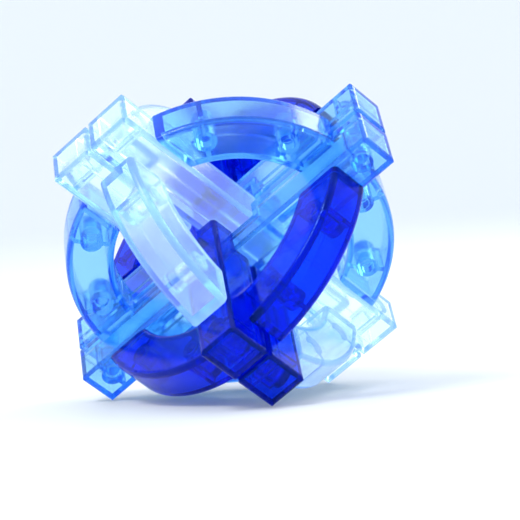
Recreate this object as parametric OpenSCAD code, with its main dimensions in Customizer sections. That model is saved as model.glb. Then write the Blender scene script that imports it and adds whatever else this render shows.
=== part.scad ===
// Six-piece ball burr, standing on three of its bar ends.
// Three pairs of bars cross at right angles. Each bar ends in an anchor-shaped
// cap of two ring quarters, and the six caps close into a ball.
// Every piece is a hollow moulding in two halves. The outer half is the bar's trough with
// a flat plate over each arc, and the inner half is the arcs' trays with the bar's floor.

/* [Bars] */
// Length of every bar
bar_len = 79; // [77:0.5:84]
// Thickness of a bar across its pair, which is the pitch of the pair
bar_pitch = 10; // [9.6:0.1:10.4]
// Width of a bar the other way, and thickness of the caps
bar_w = 9; // [8.6:0.1:9.2]

/* [Caps] */
// Outer radius of the cap rings
cap_r_out = 33; // [32:0.5:34]
// Inner radius of the cap rings
cap_r_in = 23.5; // [23:0.5:24]

/* [Moulding] */
// Wall thickness of the mouldings
wall = 1.3; // [1.2:0.1:1.4]
// Rounding of the outer edges
edge_r = 1.1; // [0.6:0.1:1.1]
// Gap left along the seam between the two halves
seam_gap = 0.06; // [0.04:0.01:0.1]
// Thickness of the ribs inside
rib_t = 1; // [0.8:0.1:1.2]
// Diameter of the round posts inside
post_d = 4.5; // [4:0.1:4.8]
// Diameter of the pegs that enter the posts
peg_d = 2.6; // [2.2:0.1:2.8]

/* [Fit] */
// Gap between each bar and the middle plane of its pair
pair_gap = 0.1; // [0.05:0.05:0.2]
// Gap between crossing pieces
fit_gap = 0.2; // [0.15:0.05:0.3]
// Free play of a locked piece along its bar
play = 1; // [0.5:0.1:1.5]

/* [Hidden] */
$fn = 64;

clear_colour = [0.86, 0.95, 1, 0.5];
cyan_colour = [0.45, 0.8, 0.98, 0.5];
blue_colour = [0.02, 0.12, 0.8, 0.6];

half_len = bar_len / 2;
half_w = bar_w / 2;
seam_z = half_w - wall;                     // height of the seam above the ring plane
far = 100;                                  // larger than the ball, for cutting blocks
past = 1;                                   // how far a cut runs past a face that it opens
peg_slack = 0.2;                            // a post's hole is this much wider than its peg
post_hole_d = peg_d + peg_slack;
peg_len = 3.2;                              // from the seam to a peg's tip
hole_len = 3.8;                             // from the seam to the end of a post's hole
bar_post_from_end = 4.8;
arc_post_from_end = 6.5;
cap_r_mid = (cap_r_out + cap_r_in) / 2;
cap_end_x = bar_pitch + fit_gap;            // plane where an arc stops beside the next pair
root_angle = asin(half_w / cap_r_mid);
tip_angle = acos(cap_end_x / cap_r_mid);
post_turn = arc_post_from_end / cap_r_mid * 180 / PI;
arc_post_angles = [root_angle + post_turn, tip_angle - post_turn];
bar_post_x = [-half_len + bar_post_from_end, half_len - bar_post_from_end];

notch_top = half_w + fit_gap;               // floor of the long notch, above the ring plane
notch_lo = -bar_pitch - play - fit_gap;
notch_hi = bar_pitch + fit_gap;
neck_lo = -half_w - play - fit_gap;
neck_hi = half_w + fit_gap;

// The ball stands with one body diagonal of the burr upright.
stand_tilt = 90 + atan(1 / sqrt(2));
corner_drop = (half_len + half_w + bar_pitch) / sqrt(3);
// What the three roundings take off the corner that the ball stands on
corner_trim = corner_round(edge_r) / sqrt(3);

// How far the corner of a block moves in along the diagonal, times sqrt(3), when
// cylinders of radius r round all three of its edges: each edge leaves r*(1 - 1/sqrt(2)).
function corner_round(r) = 3 * r * (1 - 1 / sqrt(2));

// ---- plain shapes ----

module rounded_rect(size, r) {
    translate([r, 0]) square([size[0] - 2 * r, size[1]]);
    translate([0, r]) square([size[0], size[1] - 2 * r]);
    for (x = [r, size[0] - r], y = [r, size[1] - r])
        translate([x, y]) circle(r);
}

// A block from lo to hi, its twelve edges rounded by three crossing prisms.
module round_block(lo, hi, r) {
    s = hi - lo;
    translate(lo) intersection() {
        linear_extrude(s[2]) rounded_rect([s[0], s[1]], r);
        rotate([90, 0, 90]) linear_extrude(s[0]) rounded_rect([s[1], s[2]], r);
        translate([0, s[1], 0]) rotate([90, 0, 0])
            linear_extrude(s[1]) rounded_rect([s[0], s[2]], r);
    }
}

module block(lo, hi) {
    translate(lo) cube(hi - lo);
}

// ---- one piece, with its bar along x, its cap at the +x end, and its ring in plane z = 0 ----

module bar_outside() {
    round_block([-half_len, -half_w, pair_gap], [half_len, half_w, bar_pitch], edge_r);
}

module bar_inside() {
    block([-half_len + wall, -half_w + wall, pair_gap + wall],
          [half_len - wall, half_w - wall, bar_pitch - wall]);
}

// Both ring quarters of the cap, before they are cut free of the neighbouring bar.
module ring_outside() {
    intersection() {
        rotate([0, 0, -90]) rotate_extrude(angle = 180)
            translate([cap_r_in, -half_w])
                rounded_rect([cap_r_out - cap_r_in, bar_w], edge_r);
        block([cap_end_x, -far, -far], [far, far, far]);
    }
}

module ring_inside() {
    difference() {
        intersection() {
            rotate([0, 0, -90]) rotate_extrude(angle = 180)
                translate([cap_r_in + wall, -half_w + wall])
                    square([cap_r_out - cap_r_in - 2 * wall, bar_w - 2 * wall]);
            block([cap_end_x + wall, -far, -far], [far, far, far]);
        }
        block([0, -half_w - fit_gap - wall, -far], [far, half_w + fit_gap + wall, pair_gap + wall]);
        block([0, -half_w, 0], [far, half_w, far]);
    }
}

// Room for the other bar of the pair, between the two arcs.
module mate_room() {
    block([0, -half_w - fit_gap, -far], [far, half_w + fit_gap, pair_gap]);
}

// The long notch lets the crossing pair pass under the bar. The neck notch takes half
// of the bar's width as well. Both grow by the wall where they shape the inside.
module notches(long_notch, neck_notch, grow) {
    if (long_notch)
        block([notch_lo - grow, -half_w - past, -past], [notch_hi + grow, half_w + past, notch_top + grow]);
    if (neck_notch)
        block([neck_lo - grow, -fit_gap - grow, -past], [neck_hi + grow, half_w + past, bar_pitch + past]);
}

module outside(long_notch, neck_notch) {
    difference() {
        union() {
            bar_outside();
            ring_outside();
        }
        mate_room();
        notches(long_notch, neck_notch, 0);
    }
}

// Everything below the seam, which steps up over the long notch to take in its floor.
module below_seam(long_notch, gap) {
    block([-far, -far, -far], [far, far, seam_z + gap / 2]);
    if (long_notch)
        block([notch_lo - wall - gap, -far, -far], [notch_hi + wall + gap, far, notch_top + wall + gap]);
}

module at_arc_posts() {
    for (a = arc_post_angles, side = [-1, 1])
        rotate([0, 0, side * a]) translate([cap_r_mid, 0, 0]) children();
}

module at_bar_posts() {
    for (x = bar_post_x)
        translate([x, 0, 0]) children();
}

// Ribs and posts from z = lo to z = hi, across the inside of the arcs and the bar.
module arc_ribs(lo, hi) {
    at_arc_posts() {
        block([-cap_r_mid + cap_r_in + wall / 2, -rib_t / 2, lo],
              [cap_r_out - cap_r_mid - wall / 2, rib_t / 2, hi]);
        translate([0, 0, lo]) cylinder(d = post_d, h = hi - lo);
    }
}

module bar_ribs(lo, hi) {
    at_bar_posts() {
        block([-rib_t / 2, -half_w + wall / 2, lo], [rib_t / 2, half_w - wall / 2, hi]);
        translate([0, 0, lo]) cylinder(d = post_d, h = hi - lo);
    }
}

module piece_outer_half(long_notch = false, neck_notch = false) {
    seam = seam_z + seam_gap / 2;
    difference() {
        outside(long_notch, neck_notch);
        difference() {
            union() {
                bar_inside();
                ring_inside();
            }
            notches(long_notch, neck_notch, wall);
            bar_ribs(seam, bar_pitch - wall / 2);
        }
        below_seam(long_notch, seam_gap);
        at_bar_posts() translate([0, 0, seam - past]) cylinder(d = post_hole_d, h = hole_len + past);
    }
    at_arc_posts() translate([0, 0, seam_z - peg_len])
        cylinder(d = peg_d, h = half_w - wall / 2 - seam_z + peg_len);
}

module piece_inner_half(long_notch = false, neck_notch = false) {
    seam = seam_z - seam_gap / 2;
    difference() {
        intersection() {
            outside(long_notch, neck_notch);
            below_seam(long_notch, -seam_gap);
        }
        difference() {
            union() {
                bar_inside();
                ring_inside();
            }
            notches(long_notch, neck_notch, wall);
            arc_ribs(-half_w + wall / 2, seam);
        }
        at_arc_posts() translate([0, 0, seam_z - hole_len]) cylinder(d = post_hole_d, h = far);
    }
    at_bar_posts() translate([0, 0, pair_gap + wall / 2])
        cylinder(d = peg_d, h = seam_z + peg_len - pair_gap - wall / 2);
}

// ---- where the pieces stand ----

// Turns the burr so that it stands on three bar ends, centred over the origin.
module stand() {
    translate([0, 0, corner_drop - corner_trim]) rotate([stand_tilt, 0, 0]) rotate([0, 0, 45])
        children();
}

// The three axes of the burr follow each other round its body diagonal.
module along_x() { children(); }
module along_y() { rotate([90, 0, 90]) children(); }
module along_z() { rotate([-90, -90, 0]) children(); }
module reversed() { rotate([0, 180, 0]) children(); }

module clear_key_outer_half() {
    color(clear_colour) stand() along_y() piece_outer_half();
}
module clear_key_inner_half() {
    color(clear_colour) stand() along_y() piece_inner_half();
}

module clear_anchor_outer_half() {
    color(clear_colour) stand() along_y() reversed() piece_outer_half(true);
}
module clear_anchor_inner_half() {
    color(clear_colour) stand() along_y() reversed() piece_inner_half(true);
}

module cyan_upper_outer_half() {
    color(cyan_colour) stand() along_x() piece_outer_half(true);
}
module cyan_upper_inner_half() {
    color(cyan_colour) stand() along_x() piece_inner_half(true);
}

module cyan_lower_outer_half() {
    color(cyan_colour) stand() along_x() reversed() piece_outer_half(true);
}
module cyan_lower_inner_half() {
    color(cyan_colour) stand() along_x() reversed() piece_inner_half(true);
}

module blue_lower_outer_half() {
    color(blue_colour) stand() along_z() piece_outer_half(true, true);
}
module blue_lower_inner_half() {
    color(blue_colour) stand() along_z() piece_inner_half(true, true);
}

module blue_upper_outer_half() {
    color(blue_colour) stand() along_z() reversed() piece_outer_half(true, true);
}
module blue_upper_inner_half() {
    color(blue_colour) stand() along_z() reversed() piece_inner_half(true, true);
}

clear_key_outer_half();
clear_key_inner_half();
clear_anchor_outer_half();
clear_anchor_inner_half();
cyan_upper_outer_half();
cyan_upper_inner_half();
cyan_lower_outer_half();
cyan_lower_inner_half();
blue_lower_outer_half();
blue_lower_inner_half();
blue_upper_outer_half();
blue_upper_inner_half();
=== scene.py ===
"""Ball burr of hollow, see-through polystyrene mouldings, standing on three bar ends."""

import math

import bpy
import numpy as np
from mathutils import Matrix, Vector


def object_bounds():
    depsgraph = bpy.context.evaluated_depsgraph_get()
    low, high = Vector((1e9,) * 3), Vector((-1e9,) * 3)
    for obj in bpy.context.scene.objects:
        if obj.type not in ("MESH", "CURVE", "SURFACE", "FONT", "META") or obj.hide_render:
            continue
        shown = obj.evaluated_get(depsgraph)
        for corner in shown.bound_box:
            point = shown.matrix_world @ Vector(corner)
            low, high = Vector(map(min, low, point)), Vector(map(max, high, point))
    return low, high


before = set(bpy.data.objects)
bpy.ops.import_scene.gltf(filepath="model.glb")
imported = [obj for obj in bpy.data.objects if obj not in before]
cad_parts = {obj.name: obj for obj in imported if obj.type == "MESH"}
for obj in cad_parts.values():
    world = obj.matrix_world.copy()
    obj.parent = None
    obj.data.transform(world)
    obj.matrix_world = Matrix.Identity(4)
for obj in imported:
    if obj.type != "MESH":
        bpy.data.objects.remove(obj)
cad_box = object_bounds()
scene = bpy.context.scene

MM = 0.001

# The burr's pieces stand opposite each other in pairs, so the ball's centre is its box's.
BALL_CENTRE = (Vector(cad_box[0]) + Vector(cad_box[1])) / 2


# ---- colours and nodes ----


def linear(hex_code):
    """An sRGB hex colour as the linear red, green, blue and alpha that shaders take."""
    parts = [int(hex_code[i : i + 2], 16) / 255 for i in (1, 3, 5)]
    return [c / 12.92 if c <= 0.04045 else ((c + 0.055) / 1.055) ** 2.4 for c in parts] + [1.0]


def add(tree, kind, inputs):
    """Adds one node. Each input is a value, or the socket that it is linked from."""
    node = tree.nodes.new(kind)
    for name, value in inputs.items():
        socket = node.inputs[name]
        if isinstance(value, bpy.types.NodeSocket):
            tree.links.new(value, socket)
        else:
            socket.default_value = value
    return node


def new_material(name):
    """An empty material and its node tree."""
    material = bpy.data.materials.new(name)
    material.use_nodes = True
    material.node_tree.nodes.clear()
    return material, material.node_tree


# ---- the plastics ----

# Polystyrene's own index is 1.59. This one was matched, as each plastic's gloss
# and painted glow were.
MATCHED_IOR = 1.45

# The melt's flow leaves slow, smooth and dull patches.
FLOW_SIZE = 9 * MM
FLOW_HEIGHT = 0.5 * MM
FLOW_STRENGTH = 0.08
FLOW_SPAN = (0.35, 0.65)

# A worn steel mould leaves orange peel, drawn coarser than it is so that it shows.
PEEL_SIZE = 1.2 * MM
PEEL_HEIGHT = 0.1 * MM
PEEL_STRENGTH = 0.03


def moulded_polystyrene(
    name, tint, depth_colour, depth_density, painted_glow_colour, painted_glow, gloss, roughness
):
    """Crystal polystyrene, injection moulded.

    Its dye builds up along the light's path, with depth_density per metre, so faces look
    pale and walls seen edge-on look deep. The painted glow is a faint, even emission, painted
    light that stands in for the light that a cloudy melt scatters. The roughness runs from
    its first value to its second with the flow of the melt.
    """
    material, tree = new_material(name)
    place = add(tree, "ShaderNodeTexCoord", {}).outputs["Object"]
    flow = add(tree, "ShaderNodeTexNoise", {
        "Vector": place, "Scale": 1 / FLOW_SIZE, "Detail": 2.0,
    })
    peel = add(tree, "ShaderNodeTexNoise", {
        "Vector": place, "Scale": 1 / PEEL_SIZE, "Detail": 3.0,
    })
    polish = add(tree, "ShaderNodeMapRange", {
        "Value": flow.outputs["Fac"],
        "From Min": FLOW_SPAN[0],
        "From Max": FLOW_SPAN[1],
        "To Min": roughness[0],
        "To Max": roughness[1],
    })
    waves = add(tree, "ShaderNodeBump", {
        "Height": flow.outputs["Fac"],
        "Strength": FLOW_STRENGTH,
        "Distance": FLOW_HEIGHT,
    })
    grain = add(tree, "ShaderNodeBump", {
        "Height": peel.outputs["Fac"],
        "Strength": PEEL_STRENGTH,
        "Distance": PEEL_HEIGHT,
        "Normal": waves.outputs["Normal"],
    })
    shader = add(tree, "ShaderNodeBsdfPrincipled", {
        "Base Color": linear(tint),
        "Roughness": polish.outputs["Result"],
        "Normal": grain.outputs["Normal"],
        "IOR": MATCHED_IOR,
        "Transmission Weight": 1.0,
        "Specular IOR Level": gloss,
        "Specular Tint": linear(tint),
        # Painted light: an even emission glow on every face, standing in for light scattered
        # in the melt.
        "Emission Color": linear(painted_glow_colour),
        "Emission Strength": painted_glow,
    })
    depth = add(tree, "ShaderNodeVolumeAbsorption", {
        "Color": linear(depth_colour),
        "Density": depth_density,
    })
    add(tree, "ShaderNodeOutputMaterial", {
        "Surface": shader.outputs["BSDF"],
        "Volume": depth.outputs["Volume"],
    })
    return material


# Each plastic's glow colour and strength give an even emission, painted light in place of the
# light its melt scatters.
PLASTICS = {
    # Undyed: near-white faces, and pale blue along the walls
    "clear": moulded_polystyrene(
        "clear_polystyrene",
        tint="#FFFFFF", depth_colour="#50CAFF", depth_density=120.0,
        painted_glow_colour="#E4FAFF", painted_glow=0.075, gloss=0.4, roughness=(0.12, 0.24),
    ),
    # Lightly dyed: light cyan faces with brighter edges
    "cyan": moulded_polystyrene(
        "cyan_polystyrene",
        tint="#DCF6FF", depth_colour="#08C2FF", depth_density=185.0,
        painted_glow_colour="#40C8FF", painted_glow=0.022, gloss=0.3, roughness=(0.10, 0.20),
    ),
    # Strongly dyed: bright blue where it is thin, and near navy where it is thick
    "blue": moulded_polystyrene(
        "blue_polystyrene",
        tint="#5CA4FF", depth_colour="#00A6F8", depth_density=740.0,
        painted_glow_colour="#0068FF", painted_glow=0.012, gloss=0.08, roughness=(0.08, 0.16),
    ),
}

# Each piece's name starts with its plastic.
for name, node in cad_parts.items():
    node.data.materials.clear()
    node.data.materials.append(PLASTICS[name.split("_")[0]])

# ---- floor, lights and camera ----


def white_card():
    """White card: matt and even, so it shows nothing but the soft shadow."""
    material, tree = new_material("white_card")
    shader = add(tree, "ShaderNodeBsdfPrincipled", {
        "Base Color": linear("#F6F8FA"), "Roughness": 0.6,
    })
    add(tree, "ShaderNodeOutputMaterial", {"Surface": shader.outputs["BSDF"]})
    return material


def bowl_floor(flat_radius, rise, rings=24, around=96):
    """A round floor that turns up at its rim: flat out to flat_radius, then a quarter
    circle of radius rise, turned about the vertical axis. A flat disc closes its hub."""
    hub_radius = 1 * MM
    turn = np.linspace(0, 2 * math.pi, around, endpoint=False)
    bend = np.linspace(0, math.pi / 2, rings)
    radius = np.concatenate([[hub_radius], flat_radius + rise * np.sin(bend)])
    height = np.concatenate([[0.0], rise * (1 - np.cos(bend))])
    points = np.stack([
        np.outer(radius, np.cos(turn)),
        np.outer(radius, np.sin(turn)),
        np.outer(height, np.ones(around)),
    ], axis=-1).reshape(-1, 3)
    ring, step = np.meshgrid(np.arange(len(radius) - 1), np.arange(around), indexing="ij")
    here = ring * around + step
    beside = ring * around + (step + 1) % around
    quads = np.stack([here, here + around, beside + around, beside], axis=-1).reshape(-1, 4)
    hub = list(range(around))
    mesh = bpy.data.meshes.new("floor")
    mesh.from_pydata(points.tolist(), [], quads.tolist() + [hub])
    mesh.polygons.foreach_set("use_smooth", [True] * len(mesh.polygons))
    mesh.materials.append(white_card())
    floor = bpy.data.objects.new("floor", mesh)
    scene.collection.objects.link(floor)


def studio_air(colour, strength):
    """The even light of a white studio, from all round."""
    world = bpy.data.worlds.new("studio")
    world.use_nodes = True
    background = world.node_tree.nodes["Background"]
    background.inputs["Color"].default_value = linear(colour)
    background.inputs["Strength"].default_value = strength
    scene.world = world


def softbox(name, place, size, watts):
    """A square soft light. Its place is taken from the ball's centre, which it faces."""
    light = bpy.data.lights.new(name, "AREA")
    light.size = size
    light.energy = watts
    lamp = bpy.data.objects.new(name, light)
    lamp.location = BALL_CENTRE + Vector(place)
    lamp.rotation_euler = (-Vector(place)).to_track_quat("-Z", "Y").to_euler()
    scene.collection.objects.link(lamp)


def set_camera():
    """A nearly level view from 500 mm away with a long lens, rolled by about 3 degrees."""
    away = Vector((-48.7, -499.7, 14.3)) * MM
    forward = Vector((0.1088, 0.9934, -0.0354)).normalized()
    up = Vector((0.0601, 0.0290, 0.9979))
    right = forward.cross(up).normalized()
    turn = Matrix((right, right.cross(forward), -forward)).transposed()
    lens = bpy.data.cameras.new("camera")
    lens.lens = 173
    lens.sensor_width = 36
    camera = bpy.data.objects.new("camera", lens)
    camera.matrix_world = Matrix.Translation(BALL_CENTRE + away) @ turn.to_4x4()
    scene.collection.objects.link(camera)
    scene.camera = camera


bowl_floor(flat_radius=1.6, rise=1.0)
studio_air("#EEF6FF", strength=1.08)
softbox("key", place=(-0.45, -0.35, 0.8), size=0.35, watts=4.0)
softbox("rim", place=(0.6, 0.5, 0.6), size=0.35, watts=2.0)
set_camera()

scene.view_settings.view_transform = "Standard"
# Light crosses many walls and runs along others before it leaves.
WALL_BOUNCES = 32
scene.cycles.max_bounces = WALL_BOUNCES
scene.cycles.transmission_bounces = WALL_BOUNCES
scene.cycles.glossy_bounces = WALL_BOUNCES
scene.cycles.transparent_max_bounces = WALL_BOUNCES
scene.cycles.diffuse_bounces = 8
